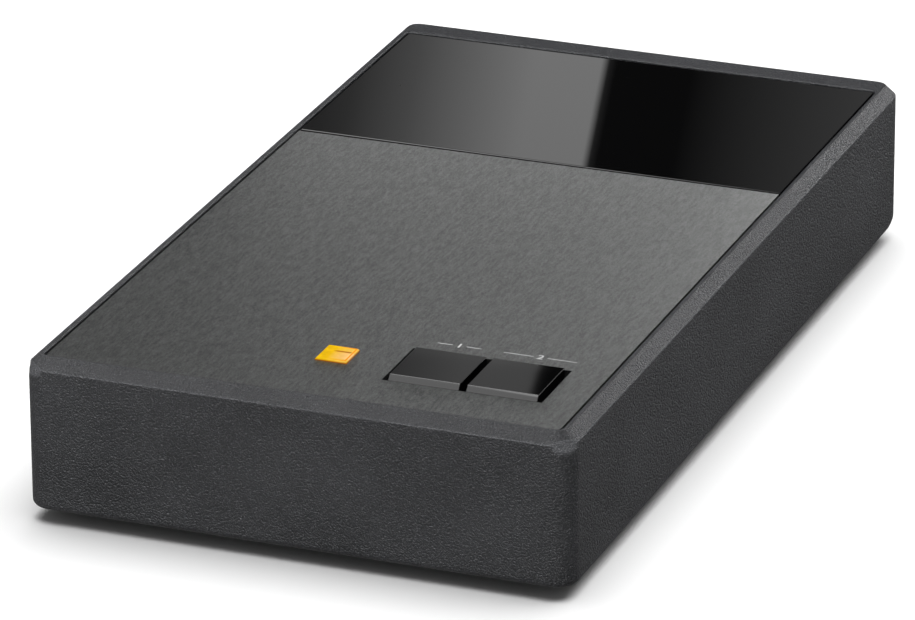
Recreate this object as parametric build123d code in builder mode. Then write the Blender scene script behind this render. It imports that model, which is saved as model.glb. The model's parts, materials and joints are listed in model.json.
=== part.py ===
from build123d import *
from math import pi
import os

# A small desktop phono preamp: a chamfered moulded housing, open below, with a
# brushed plate and a gloss panel inlaid in its top, two push buttons, a lamp,
# and its sockets on a recessed rear panel.
#
# Millimetres. X runs to the right, Y to the rear, Z up. The origin lies on the
# table, under the middle of the whole part, sockets included.

os.makedirs("parts", exist_ok=True)

# ---------------------------------------------------------------- case
case_width = 102.0
case_depth = 184.0
case_height = 28.7              # bottom edge up to the flat rim
case_stand = 2.6                # free height under the bottom edge
corner_radius = 4.2             # upright corners, in plan
rear_round = 7.0                # rear bottom edge, seen from the side; the board clears it
bottom_edge_round = 1.2         # front and side bottom edges
rim_chamfer = 2.0
rim_land = 0.85                 # flat between the chamfer and the inlay recess
rear_land = 4.75                # the same flat, behind the recess
rim_edge = 0.25                 # broken inner edge of the flat
wall = 2.5
skin = 2.0                      # roof left under the inlays
rear_lip = 2.0                  # how far the floor lip runs in front of the rear round

# ---------------------------------------------------------------- inlays
inlay_sink = 0.35               # rim down to the faces of the inlays
inlay_thickness = 1.0
inlay_gap = 0.5                 # round the inlays
seam_gap = 0.9                  # between the two inlays
inlay_corner = 1.2
inlay_edge = 0.25               # broken edge of the gloss panel
seam_from_front = 120.0         # front of the case to the end of the brushed plate

# ---------------------------------------------------------------- buttons
button_width = 13.1
button_depth = 13.0
button_spacing = 1.3            # between the two caps
button_margin = 1.0             # between the caps and the plate cut-out
buttons_from_side = 25.0        # middle of the pair to the right side of the case
controls_from_front = 20.8      # buttons and lamp share this line
button_proud = 0.8
button_travel = 1.5
button_height = 5.0
button_top = 1.4
button_wall = 1.1
button_corner = 0.35
button_edge = 0.3
button_slide_gap = 0.2          # cap to guide pocket
guide_height = 5.0
guide_border = 2.6
guide_pin_radius = 0.9
guide_pin_inset = 1.3

# ---------------------------------------------------------------- switches
switch_size = 8.5
switch_height = 9.0
switch_bore_depth = 7.0
switch_end_gap = 0.3            # left under the plunger when it is down
plunger_size = 3.0
plunger_gap = 0.15
plunger_grip = 4.0              # length held in the stem of the cap
stem_wall = 1.0
spring_rest_height = 5.4        # switch body up to the stem, button up
spring_wire = 0.4
spring_turns = 3
spring_side_gap = 0.3
spring_end_gap = 0.03
press_gap = 0.05                # between round or square fits inside one body

# ---------------------------------------------------------------- lamp
lens_width = 5.9
lens_depth = 6.4
lens_proud = 0.5
lens_edge = 0.35
lens_gap = 0.1
lens_flange = 1.0
lens_flange_height = 1.0
light_pipe_radius = 1.9
led_radius = 1.5
led_height = 3.1
led_skirt_radius = 1.9
led_skirt_height = 0.9
led_dome = 1.0
led_pipe_gap = 0.4
shroud_wall = 0.8
shroud_gap = 0.25

# ---------------------------------------------------------------- base and feet
base_inset = 0.6                # base face above the bottom edge of the housing
base_thickness = 1.5
base_gap = 0.25
base_corner = 2.0
foot_radius = 5.5
foot_sole_radius = 4.7
foot_edge = 0.6
foot_from_side = 13.0
foot_from_end = 21.0
vent_length = 18.0
vent_width = 2.0
vent_pitch = 6.0
vent_count = 3
vent_from_side = 27.0
vent_from_front = 58.0
roof_rib_count = 4
roof_rib_pitch = 24.0
roof_rib_height = 2.0
roof_rib_thickness = 1.2

# ---------------------------------------------------------------- fasteners
screw_radius = 1.2
screw_head_radius = 2.7
screw_head_height = 1.5
screw_length = 13.0
screw_slot_width = 0.5
screw_slot_length = 2.6
screw_slot_depth = 0.6
hole_clearance = 0.4            # radial, where a screw passes freely
boss_radius = 3.0
boss_from_side = 7.0
front_boss_from_front = 6.5
rear_boss_from_rear = 29.0
gusset_thickness = 1.2

# ---------------------------------------------------------------- circuit board
board_thickness = 1.6
board_side_gap = 1.2
board_front_gap = 1.2
board_rear_gap = 1.7            # inner face of the rear wall to the board
board_corner = 2.0

# ---------------------------------------------------------------- rear panel
rear_panel_thickness = 1.5
rear_panel_overlap = 1.2        # round the window
rear_panel_gap = 0.15
window_from_side = 5.5
window_height = 14.0
window_corner = 1.5

# ---------------------------------------------------------------- phono sockets
socket_axis_height = 9.0        # above the board
socket_pitch = 14.0
socket_block_depth = 13.0
socket_block_height = 13.6
socket_block_margin = 6.2       # socket axis to the side of its block
nose_radius = 5.1
nose_gap = 0.15
barrel_radius = 4.15
barrel_wall = 0.75
barrel_length = 9.0             # free length behind the panel
barrel_tail = 4.0               # length held in the block
barrel_shoulder = 0.25          # step that stops the barrel on the nose of its block
barrel_edge = 0.4
insulator_setback = 0.5
contact_radius = 2.1
contact_bore_radius = 1.6
contact_length = 9.5
panel_screw_length = 7.0
panel_screw_drop = 4.1          # below the socket axis, clear of the plugs

# ---------------------------------------------------------------- power inlet
inlet_width = 9.0
inlet_height = 11.0
inlet_depth = 13.5
inlet_axis_height = 6.5         # above the board
inlet_nose_radius = 4.3
inlet_bore_radius = 3.15
inlet_bore_depth = 10.0
inlet_pin_radius = 1.0
inlet_pin_length = 9.0

# ---------------------------------------------------------------- ground terminal
stud_radius = 2.0
stud_spare = 1.4                # left in the nut when it is turned out
stud_inner_length = 5.5
stud_edge = 0.4
collar_radius = 4.2
collar_height = 1.6
ground_hole_gap = 0.1
lug_thickness = 0.6
lug_radius = 3.6
lug_width = 3.0
lug_foot = 4.0                  # lies on the board
lock_nut_radius = 3.9           # corner to corner
lock_nut_height = 2.4
washer_radius = 3.9
washer_thickness = 0.8
thumb_nut_radius = 4.8
thumb_nut_height = 4.6
thumb_nut_shoulder = 0.9
thumb_nut_shoulder_radius = 3.9
thumb_nut_edge = 0.4
knurl_count = 24
knurl_radius = 0.45
thread_gap = 0.05
thread_pitch = 0.7
nut_turns = 3

# ---------------------------------------------------------------- setting switches
dip_positions = 4
dip_pitch = 2.54
dip_end = 2.04                  # outer slider axis to the end of the body
dip_width = 9.0
dip_height = 3.8
dip_slot_length = 3.2
dip_slot_width = 1.4
dip_slot_depth = 1.6
slider_length = 1.4
slider_width = 1.1
slider_proud = 0.6
slider_end_gap = 0.2
slider_floor_gap = 0.1
dip_from_side = 29.0
dip_from_front = 108.0
dip_window_gap = 0.5

# ---------------------------------------------------------------- parts on the board
can_radius = 4.0
can_height = 11.5
film_width = 7.2
film_depth = 3.5
film_height = 6.5
chip_width = 6.4
chip_length = 9.6
chip_height = 3.4
chip_notch_radius = 0.9
regulator_width = 10.2
regulator_depth = 4.4
regulator_height = 12.0
regulator_tab = 1.3
regulator_tab_height = 4.0
regulator_hole_radius = 1.8
board_parts_from_front = 62.0
board_row_pitch = 22.0
board_column_pitch = 18.0

# ================================================================ worked out places
rear_panel_recess = wall - rear_panel_thickness
nut_travel = nut_turns * thread_pitch
stud_length = collar_height + washer_thickness + thumb_nut_height + nut_travel + stud_spare
rear_reach = max(barrel_length, stud_length) - rear_panel_recess
front_y = -(case_depth + rear_reach) / 2
rear_y = front_y + case_depth
middle_y = front_y + case_depth / 2
panel_face_y = rear_y - rear_panel_recess
panel_back_y = rear_y - wall
half_width = case_width / 2
window_width = case_width - 2 * window_from_side
button_centre_x = half_width - buttons_from_side

# ground terminal, input block, output block and inlet share the window with equal gaps
socket_block_width = socket_pitch + 2 * socket_block_margin
rear_row = [2 * thumb_nut_radius, socket_block_width, socket_block_width, inlet_width]
rear_row_gap = (window_width - sum(rear_row)) / (len(rear_row) + 1)
rear_row_xs = [
    (i + 1) * rear_row_gap + sum(rear_row[:i]) + rear_row[i] / 2 - window_width / 2
    for i in range(len(rear_row))
]
ground_x, input_centre_x, output_centre_x, inlet_x = rear_row_xs

foot_x = half_width - foot_from_side
boss_x = half_width - boss_from_side
vent_x = half_width - vent_from_side
dip_x = half_width - dip_from_side

rim_z = case_stand + case_height
inlay_z = rim_z - inlay_sink
recess_z = inlay_z - inlay_thickness
ceiling_z = recess_z - skin
base_z = case_stand + base_inset
base_top_z = base_z + base_thickness
board_top_z = case_stand + rear_round
board_z = board_top_z - board_thickness
socket_z = board_top_z + socket_axis_height
inlet_z = board_top_z + inlet_axis_height

rim_width = rim_chamfer + rim_land
recess_width = case_width - 2 * rim_width
recess_front_y = front_y + rim_width
recess_rear_y = rear_y - rim_chamfer - rear_land
inlay_width = recess_width - 2 * inlay_gap
plate_front_y = recess_front_y + inlay_gap
seam_y = front_y + seam_from_front
panel_front_y = seam_y + seam_gap
panel_rear_y = recess_rear_y - inlay_gap

inner_width = case_width - 2 * wall
inner_depth = case_depth - 2 * wall
inner_corner = corner_radius - wall
floor_rear_y = rear_y - rear_round - rear_lip
controls_y = front_y + controls_from_front
button_pitch = button_width + button_spacing
button_xs = [button_centre_x - button_pitch / 2, button_centre_x + button_pitch / 2]
cutout_width = 2 * button_width + button_spacing + 2 * button_margin
cutout_depth = button_depth + 2 * button_margin
button_top_z = inlay_z + button_proud
switch_top_z = board_top_z + switch_height
stem_bottom_z = switch_top_z + spring_rest_height
plunger_bottom_z = switch_top_z - switch_bore_depth + button_travel + switch_end_gap
plunger_top_z = stem_bottom_z + plunger_grip
stem_size = plunger_size + 2 * (press_gap + stem_wall)
guide_width = cutout_width + 2 * guide_border
guide_depth = cutout_depth + 2 * guide_border
guide_pins = GridLocations(guide_width - 2 * guide_pin_inset, guide_depth - 2 * guide_pin_inset, 2, 2)

boss_places = [
    (side * boss_x, y)
    for y in (front_y + front_boss_from_front, rear_y - rear_boss_from_rear)
    for side in (-1, 1)
]
foot_places = {
    "foot_front_left": (-foot_x, front_y + foot_from_end),
    "foot_front_right": (foot_x, front_y + foot_from_end),
    "foot_rear_left": (-foot_x, rear_y - foot_from_end),
    "foot_rear_right": (foot_x, rear_y - foot_from_end),
}
sockets = {
    "input_left": input_centre_x - socket_pitch / 2,
    "input_right": input_centre_x + socket_pitch / 2,
    "output_left": output_centre_x - socket_pitch / 2,
    "output_right": output_centre_x + socket_pitch / 2,
}
dip_length = (dip_positions - 1) * dip_pitch + 2 * dip_end
dip_y = front_y + dip_from_front
dip_bottom_z = board_z - dip_height
dip_blocks = {"gain": -dip_x, "load": dip_x}
slider_travel = dip_slot_length - slider_length - 2 * slider_end_gap


def rearward(x, y, z):
    """A plane at (x, y, z) whose normal runs to the rear, with its own Y up."""
    return Plane(origin=(x, y, z), x_dir=(-1, 0, 0), z_dir=(0, 1, 0))


def save(piece, name):
    """Label a finished piece and write it under its own name."""
    piece.part.label = name
    export_step(piece.part, f"parts/{name}.step")


# ================================================================ housing
# The side outline rounds the rear bottom edge; the same outline, one wall in,
# shapes the hollow, so the wall keeps its thickness round the bend.
with BuildPart() as hollow:
    with BuildSketch(Plane.XY.offset(case_stand + wall)) as hollow_plan:
        with Locations((0, middle_y)):
            RectangleRounded(inner_width, inner_depth, inner_corner)
    extrude(amount=ceiling_z - case_stand - wall)
    with BuildSketch(Plane.YZ) as hollow_side:
        with BuildLine():
            Polyline(
                (front_y + wall, case_stand + wall),
                (rear_y - wall, case_stand + wall),
                (rear_y - wall, ceiling_z),
                (front_y + wall, ceiling_z),
                close=True,
            )
        make_face()
        fillet(hollow_side.vertices().group_by(Axis.X)[-1].sort_by(Axis.Y)[0], rear_round - wall)
    extrude(amount=case_width, both=True, mode=Mode.INTERSECT)
    with BuildSketch(Plane.XY.offset(case_stand)) as floor_opening:
        with Locations((0, (front_y + wall + floor_rear_y) / 2)):
            RectangleRounded(inner_width, floor_rear_y - front_y - wall, inner_corner)
    extrude(amount=wall + inner_corner)

with BuildPart() as housing:
    with BuildSketch(Plane.XY.offset(case_stand)) as plan:
        with Locations((0, middle_y)):
            RectangleRounded(case_width, case_depth, corner_radius)
    extrude(amount=case_height)
    chamfer(housing.faces().sort_by(Axis.Z)[-1].edges(), rim_chamfer)
    with BuildSketch(Plane.YZ) as side:
        with BuildLine():
            Polyline(
                (front_y, case_stand),
                (rear_y, case_stand),
                (rear_y, rim_z),
                (front_y, rim_z),
                close=True,
            )
        make_face()
        fillet(side.vertices().group_by(Axis.X)[-1].sort_by(Axis.Y)[0], rear_round)
    extrude(amount=case_width, both=True, mode=Mode.INTERSECT)
    bottom_edges = housing.faces().sort_by(Axis.Z)[0].edges().sort_by(Axis.Y)[:-1]
    fillet(bottom_edges, bottom_edge_round)

    # recess for the two inlays
    with BuildSketch(Plane.XY.offset(recess_z)) as recess:
        with Locations((0, (recess_front_y + recess_rear_y) / 2)):
            RectangleRounded(recess_width, recess_rear_y - recess_front_y, inlay_corner)
    extrude(amount=rim_z - recess_z, mode=Mode.SUBTRACT)
    chamfer(housing.faces().sort_by(Axis.Z)[-1].inner_wires().edges(), rim_edge)
    add(hollow.part, mode=Mode.SUBTRACT)

    # screw bosses under the roof, each tied to the side wall by a gusset
    with BuildSketch(Plane.XY.offset(board_top_z)) as bosses:
        with Locations(*boss_places):
            Circle(boss_radius)
        for x, y in boss_places:
            outward = 1 if x > 0 else -1
            with Locations((outward * (abs(x) + inner_width / 2) / 2, y)):
                Rectangle(inner_width / 2 - abs(x), gusset_thickness)
    extrude(amount=ceiling_z - board_top_z)
    with Locations(*[(x, y, board_top_z) for x, y in boss_places]):
        Cylinder(
            screw_radius + press_gap,
            screw_length,
            align=(Align.CENTER, Align.CENTER, Align.MIN),
            mode=Mode.SUBTRACT,
        )

    # ribs that stiffen the roof
    with BuildSketch(Plane.XY.offset(ceiling_z - roof_rib_height)) as roof_ribs:
        with Locations((0, middle_y)):
            with GridLocations(0, roof_rib_pitch, 1, roof_rib_count):
                Rectangle(inner_width, roof_rib_thickness)
    extrude(amount=roof_rib_height)

    # pins that rivet the button guide to the roof
    with BuildSketch(Plane.XY.offset(ceiling_z - guide_height)) as pins:
        with Locations((button_centre_x, controls_y)):
            with guide_pins:
                Circle(guide_pin_radius)
    extrude(amount=guide_height)

    # openings in the roof for the buttons and the lamp
    with BuildSketch(Plane.XY.offset(ceiling_z)) as roof_openings:
        with Locations((button_centre_x, controls_y)):
            Rectangle(cutout_width, cutout_depth)
        with Locations((0, controls_y)):
            Rectangle(lens_width + 2 * lens_gap, lens_depth + 2 * lens_gap)
    extrude(amount=skin, mode=Mode.SUBTRACT)

    # rear window, with a pocket round it that seats the rear panel
    with BuildSketch(rearward(0, panel_back_y, socket_z)) as window_pocket:
        RectangleRounded(
            window_width + 2 * (rear_panel_overlap + rear_panel_gap),
            window_height + 2 * (rear_panel_overlap + rear_panel_gap),
            window_corner,
        )
    extrude(amount=rear_panel_thickness, mode=Mode.SUBTRACT)
    with BuildSketch(rearward(0, panel_back_y, socket_z)) as window:
        RectangleRounded(window_width, window_height, window_corner)
    extrude(amount=wall, mode=Mode.SUBTRACT)
save(housing, "housing")

# ================================================================ inlays
with BuildPart() as top_plate:
    with BuildSketch(Plane.XY.offset(recess_z)) as plate_plan:
        with Locations((0, (plate_front_y + seam_y) / 2)):
            Rectangle(inlay_width, seam_y - plate_front_y)
        fillet(plate_plan.vertices().group_by(Axis.Y)[0], inlay_corner - inlay_gap)
        with Locations((button_centre_x, controls_y)):
            Rectangle(cutout_width, cutout_depth, mode=Mode.SUBTRACT)
        with Locations((0, controls_y)):
            Rectangle(lens_width + 2 * lens_gap, lens_depth + 2 * lens_gap, mode=Mode.SUBTRACT)
    extrude(amount=inlay_thickness)
save(top_plate, "top_plate")

with BuildPart() as gloss_panel:
    with BuildSketch(Plane.XY.offset(recess_z)) as panel_plan:
        with Locations((0, (panel_front_y + panel_rear_y) / 2)):
            Rectangle(inlay_width, panel_rear_y - panel_front_y)
        fillet(panel_plan.vertices().group_by(Axis.Y)[-1], inlay_corner - inlay_gap)
    extrude(amount=inlay_thickness)
    chamfer(gloss_panel.faces().sort_by(Axis.Z)[-1].edges(), inlay_edge)
save(gloss_panel, "gloss_panel")

# ================================================================ base
base_front_y = front_y + wall + base_gap
base_rear_y = floor_rear_y - base_gap
with BuildPart() as base_cover:
    with BuildSketch(Plane.XY.offset(base_z)) as base_plan:
        with Locations((0, (base_front_y + base_rear_y) / 2)):
            RectangleRounded(inner_width - 2 * base_gap, base_rear_y - base_front_y, base_corner)
    extrude(amount=base_thickness)
    with BuildSketch(Plane.XY.offset(base_top_z)) as spacers:
        with Locations(*boss_places):
            Circle(boss_radius)
    extrude(amount=board_z - base_top_z)
    with Locations(*[Location((x, y, base_z), (180, 0, 0)) for x, y in boss_places]):
        CounterSinkHole(screw_radius + hole_clearance, screw_head_radius + press_gap)
    with BuildSketch(Plane.XY.offset(base_z)) as base_openings:
        for x in (-vent_x, vent_x):
            with Locations((x, front_y + vent_from_front)):
                with GridLocations(0, vent_pitch, 1, vent_count):
                    Rectangle(vent_length, vent_width)
        for x in dip_blocks.values():
            with Locations((x, dip_y)):
                Rectangle(dip_length + 2 * dip_window_gap, dip_width + 2 * dip_window_gap)
    extrude(amount=base_thickness, mode=Mode.SUBTRACT)
save(base_cover, "base_cover")

for name, (x, y) in foot_places.items():
    with BuildPart() as foot:
        with BuildSketch(Plane.XZ.offset(-y)) as foot_half:
            with BuildLine():
                Polyline(
                    (x, 0),
                    (x + foot_sole_radius - foot_edge, 0),
                    (x + foot_sole_radius, foot_edge),
                    (x + foot_radius, base_z),
                    (x, base_z),
                    close=True,
                )
            make_face()
        revolve(axis=Axis((x, y, 0), (0, 0, 1)))
    save(foot, name)

# ================================================================ screws
with BuildPart() as base_screws:
    for x, y in boss_places:
        with BuildSketch(Plane.XZ.offset(-y)) as screw_half:
            with BuildLine():
                Polyline(
                    (x, base_z),
                    (x + screw_head_radius, base_z),
                    (x + screw_radius, base_z + screw_head_height),
                    (x + screw_radius, base_z + screw_length),
                    (x, base_z + screw_length),
                    close=True,
                )
            make_face()
        revolve(axis=Axis((x, y, 0), (0, 0, 1)))
    with BuildSketch(Plane.XY.offset(base_z)) as drive_slots:
        with Locations(*boss_places):
            Rectangle(screw_slot_length, screw_slot_width)
            Rectangle(screw_slot_width, screw_slot_length)
    extrude(amount=screw_slot_depth, mode=Mode.SUBTRACT)
save(base_screws, "base_screws")

# ================================================================ circuit board
board_front_y = front_y + wall + board_front_gap
board_rear_y = panel_back_y - board_rear_gap
with BuildPart() as circuit_board:
    with BuildSketch(Plane.XY.offset(board_z)) as board_plan:
        with Locations((0, (board_front_y + board_rear_y) / 2)):
            RectangleRounded(inner_width - 2 * board_side_gap, board_rear_y - board_front_y, board_corner)
        with Locations(*boss_places):
            Circle(screw_radius + hole_clearance, mode=Mode.SUBTRACT)
    extrude(amount=board_thickness)
save(circuit_board, "circuit_board")

# ================================================================ button guide
with BuildPart() as button_guide:
    with BuildSketch(Plane.XY.offset(ceiling_z - guide_height)) as guide_plan:
        with Locations((button_centre_x, controls_y)):
            Rectangle(guide_width, guide_depth)
            with guide_pins:
                Circle(guide_pin_radius + press_gap, mode=Mode.SUBTRACT)
        with Locations(*[(x, controls_y) for x in button_xs]):
            Rectangle(
                button_width + 2 * button_slide_gap,
                button_depth + 2 * button_slide_gap,
                mode=Mode.SUBTRACT,
            )
    extrude(amount=guide_height)
save(button_guide, "button_guide")

# ================================================================ buttons
button_names = ["mono", "filter"]
for name, x in zip(button_names, button_xs):
    with BuildPart() as cap:
        with BuildSketch(Plane.XY.offset(button_top_z - button_height)) as cap_plan:
            with Locations((x, controls_y)):
                RectangleRounded(button_width, button_depth, button_corner)
        extrude(amount=button_height)
        chamfer(cap.faces().sort_by(Axis.Z)[-1].edges(), button_edge)
        with BuildSketch(Plane.XY.offset(button_top_z - button_height)) as cap_hollow:
            with Locations((x, controls_y)):
                Rectangle(button_width - 2 * button_wall, button_depth - 2 * button_wall)
        extrude(amount=button_height - button_top, mode=Mode.SUBTRACT)
        with BuildSketch(Plane.XY.offset(stem_bottom_z)) as stem:
            with Locations((x, controls_y)):
                Rectangle(stem_size, stem_size)
        extrude(amount=button_top_z - button_top - stem_bottom_z)
        with BuildSketch(Plane.XY.offset(stem_bottom_z)) as stem_socket:
            with Locations((x, controls_y)):
                Rectangle(plunger_size + 2 * press_gap, plunger_size + 2 * press_gap)
        extrude(amount=plunger_grip, mode=Mode.SUBTRACT)
    save(cap, f"{name}_button")

    with BuildPart() as plunger:
        with BuildSketch(Plane.XY.offset(plunger_bottom_z)) as plunger_plan:
            with Locations((x, controls_y)):
                Rectangle(plunger_size, plunger_size)
        extrude(amount=plunger_top_z - plunger_bottom_z)
    save(plunger, f"{name}_plunger")

    with BuildPart() as switch:
        with BuildSketch(Plane.XY.offset(board_top_z)) as switch_plan:
            with Locations((x, controls_y)):
                Rectangle(switch_size, switch_size)
        extrude(amount=switch_height)
        with BuildSketch(Plane.XY.offset(switch_top_z - switch_bore_depth)) as switch_bore:
            with Locations((x, controls_y)):
                Rectangle(plunger_size + 2 * plunger_gap, plunger_size + 2 * plunger_gap)
        extrude(amount=switch_bore_depth, mode=Mode.SUBTRACT)
    save(switch, f"{name}_switch")

    # return spring round the plunger, between the switch and the stem
    spring_radius = plunger_size / 2 * 2**0.5 + spring_side_gap + spring_wire / 2
    spring_height = spring_rest_height - spring_wire - 2 * spring_end_gap
    spring_path = Helix(
        spring_height / spring_turns,
        spring_height,
        spring_radius,
        center=(x, controls_y, switch_top_z + spring_end_gap + spring_wire / 2),
    )
    with BuildPart() as spring:
        with BuildSketch(Plane(spring_path @ 0, z_dir=spring_path % 0)) as wire_section:
            RegularPolygon(spring_wire / 2, 4)
        sweep(path=spring_path, is_frenet=True)
    save(spring, f"{name}_spring")

# ================================================================ lamp
lens_top_z = inlay_z + lens_proud
led_top_z = board_top_z + led_height
with BuildPart() as lamp_lens:
    with BuildSketch(Plane.XY.offset(ceiling_z)) as lens_plan:
        with Locations((0, controls_y)):
            Rectangle(lens_width, lens_depth)
    extrude(amount=lens_top_z - ceiling_z)
    chamfer(lamp_lens.faces().sort_by(Axis.Z)[-1].edges(), lens_edge)
    with BuildSketch(Plane.XY.offset(ceiling_z - lens_flange_height)) as flange_plan:
        with Locations((0, controls_y)):
            Rectangle(lens_width + 2 * lens_flange, lens_depth + 2 * lens_flange)
    extrude(amount=lens_flange_height)
    with BuildSketch(Plane.XY.offset(led_top_z + led_pipe_gap)) as pipe_plan:
        with Locations((0, controls_y)):
            Circle(light_pipe_radius)
    extrude(amount=ceiling_z - lens_flange_height - led_top_z - led_pipe_gap)
save(lamp_lens, "lamp_lens")

with BuildPart() as lamp_led:
    with BuildSketch(Plane.XY.offset(board_top_z)) as led_skirt:
        with Locations((0, controls_y)):
            Circle(led_skirt_radius)
    extrude(amount=led_skirt_height)
    with BuildSketch(Plane.XY.offset(board_top_z)) as led_round:
        with Locations((0, controls_y)):
            Circle(led_radius)
    extrude(amount=led_height)
    chamfer(lamp_led.faces().sort_by(Axis.Z)[-1].edges(), led_dome)
save(lamp_led, "lamp_led")

with BuildPart() as lamp_shroud:
    with BuildSketch(Plane.XY.offset(board_top_z)) as shroud_plan:
        with Locations((0, controls_y)):
            Circle(led_skirt_radius + shroud_gap + shroud_wall)
            Circle(led_skirt_radius + shroud_gap, mode=Mode.SUBTRACT)
    extrude(amount=ceiling_z - lens_flange_height - board_top_z)
save(lamp_shroud, "lamp_shroud")

# ================================================================ rear panel
panel_screw_xs = [input_centre_x, output_centre_x]
panel_screw_z = socket_z - panel_screw_drop
with BuildPart() as rear_panel:
    with BuildSketch(rearward(0, panel_back_y, socket_z)) as rear_plan:
        RectangleRounded(
            window_width + 2 * rear_panel_overlap,
            window_height + 2 * rear_panel_overlap,
            window_corner,
        )
        with Locations(*[(-x, 0) for x in sockets.values()]):
            Circle(nose_radius + nose_gap, mode=Mode.SUBTRACT)
        with Locations(*[(-x, -panel_screw_drop) for x in panel_screw_xs]):
            Circle(screw_radius + press_gap, mode=Mode.SUBTRACT)
        with Locations((-ground_x, 0)):
            Circle(stud_radius + ground_hole_gap, mode=Mode.SUBTRACT)
        with Locations((-inlet_x, inlet_z - socket_z)):
            Circle(inlet_nose_radius + nose_gap, mode=Mode.SUBTRACT)
    extrude(amount=rear_panel_thickness)
save(rear_panel, "rear_panel")

# ================================================================ phono sockets
insulator_radius = barrel_radius - barrel_wall - press_gap
seat_y = panel_face_y - barrel_tail
for name, centre_x in {"input": input_centre_x, "output": output_centre_x}.items():
    with BuildPart() as block:
        with BuildSketch(Plane.XY.offset(board_top_z)) as block_plan:
            with Locations((centre_x, panel_back_y - socket_block_depth / 2)):
                Rectangle(socket_block_width, socket_block_depth)
        extrude(amount=socket_block_height)
        with BuildSketch(rearward(centre_x, panel_back_y, socket_z)) as noses:
            with GridLocations(socket_pitch, 0, 2, 1):
                Circle(nose_radius)
        extrude(amount=rear_panel_thickness)
        with BuildSketch(rearward(centre_x, seat_y, socket_z)) as barrel_seats:
            with GridLocations(socket_pitch, 0, 2, 1):
                Circle(barrel_radius - barrel_shoulder + press_gap)
        extrude(amount=barrel_tail, mode=Mode.SUBTRACT)
        with BuildSketch(rearward(centre_x, panel_back_y - panel_screw_length, panel_screw_z)) as screw_bore:
            Circle(screw_radius + press_gap)
        extrude(amount=panel_screw_length, mode=Mode.SUBTRACT)
    save(block, f"{name}_socket_block")

for name, x in sockets.items():
    with BuildPart() as barrel:
        with BuildSketch(rearward(x, seat_y, socket_z)) as barrel_tail_round:
            Circle(barrel_radius - barrel_shoulder)
        extrude(amount=barrel_tail)
        with BuildSketch(rearward(x, panel_face_y, socket_z)) as barrel_round:
            Circle(barrel_radius)
        extrude(amount=barrel_length)
        with BuildSketch(rearward(x, seat_y, socket_z)) as barrel_bore:
            Circle(barrel_radius - barrel_wall)
        extrude(amount=barrel_tail + barrel_length, mode=Mode.SUBTRACT)
        mouth = barrel.faces().sort_by(Axis.Y)[-1].edges().sort_by(SortBy.LENGTH)[-1]
        chamfer(mouth, barrel_edge)
    save(barrel, f"{name}_barrel")

    with BuildPart() as insulator:
        with BuildSketch(rearward(x, seat_y, socket_z)) as insulator_ring:
            Circle(insulator_radius)
            Circle(contact_radius + press_gap, mode=Mode.SUBTRACT)
        extrude(amount=barrel_tail + barrel_length - insulator_setback)
    save(insulator, f"{name}_insulator")

    with BuildPart() as contact:
        with BuildSketch(rearward(x, seat_y, socket_z)) as contact_round:
            Circle(contact_radius)
        extrude(amount=barrel_tail + barrel_length - 2 * insulator_setback)
        mouth_y = seat_y + barrel_tail + barrel_length - 2 * insulator_setback
        with BuildSketch(rearward(x, mouth_y - contact_length, socket_z)) as contact_bore:
            Circle(contact_bore_radius)
        extrude(amount=contact_length, mode=Mode.SUBTRACT)
    save(contact, f"{name}_contact")

with BuildPart() as panel_screws:
    for x in panel_screw_xs:
        with BuildSketch(rearward(x, panel_face_y, panel_screw_z)) as panel_screw_head:
            Circle(screw_head_radius)
        extrude(amount=screw_head_height)
        with BuildSketch(rearward(x, panel_face_y + screw_head_height - screw_slot_depth, panel_screw_z)):
            Rectangle(screw_slot_length, screw_slot_width)
            Rectangle(screw_slot_width, screw_slot_length)
        extrude(amount=screw_slot_depth, mode=Mode.SUBTRACT)
        with BuildSketch(rearward(x, panel_face_y, panel_screw_z)) as panel_screw_shank:
            Circle(screw_radius)
        extrude(amount=-panel_screw_length)
    chamfer(panel_screws.faces().sort_by(Axis.Y)[-1].outer_wire().edges(), button_edge)
save(panel_screws, "panel_screws")

# ================================================================ power inlet
with BuildPart() as dc_inlet:
    with BuildSketch(Plane.XY.offset(board_top_z)) as inlet_plan:
        with Locations((inlet_x, panel_back_y - inlet_depth / 2)):
            Rectangle(inlet_width, inlet_depth)
    extrude(amount=inlet_height)
    with BuildSketch(rearward(inlet_x, panel_back_y, inlet_z)) as inlet_nose:
        Circle(inlet_nose_radius)
    extrude(amount=rear_panel_thickness)
    with BuildSketch(rearward(inlet_x, panel_face_y - inlet_bore_depth, inlet_z)) as inlet_bore:
        Circle(inlet_bore_radius)
    extrude(amount=inlet_bore_depth, mode=Mode.SUBTRACT)
save(dc_inlet, "dc_inlet")

with BuildPart() as dc_inlet_pin:
    with BuildSketch(rearward(inlet_x, panel_face_y - inlet_bore_depth, inlet_z)) as inlet_pin_round:
        Circle(inlet_pin_radius)
    extrude(amount=inlet_pin_length)
    chamfer(dc_inlet_pin.faces().sort_by(Axis.Y)[-1].edges(), inlet_pin_radius / 2)
save(dc_inlet_pin, "dc_inlet_pin")

# ================================================================ ground terminal
with BuildPart() as ground_stud:
    with BuildSketch(rearward(ground_x, panel_back_y - stud_inner_length, socket_z)) as stud_round:
        Circle(stud_radius)
    extrude(amount=stud_inner_length + rear_panel_thickness + stud_length)
    chamfer(ground_stud.faces().sort_by(Axis.Y)[-1].edges(), stud_edge)
    with BuildSketch(rearward(ground_x, panel_face_y, socket_z)) as collar_round:
        Circle(collar_radius)
    extrude(amount=collar_height)
save(ground_stud, "ground_stud")

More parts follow.
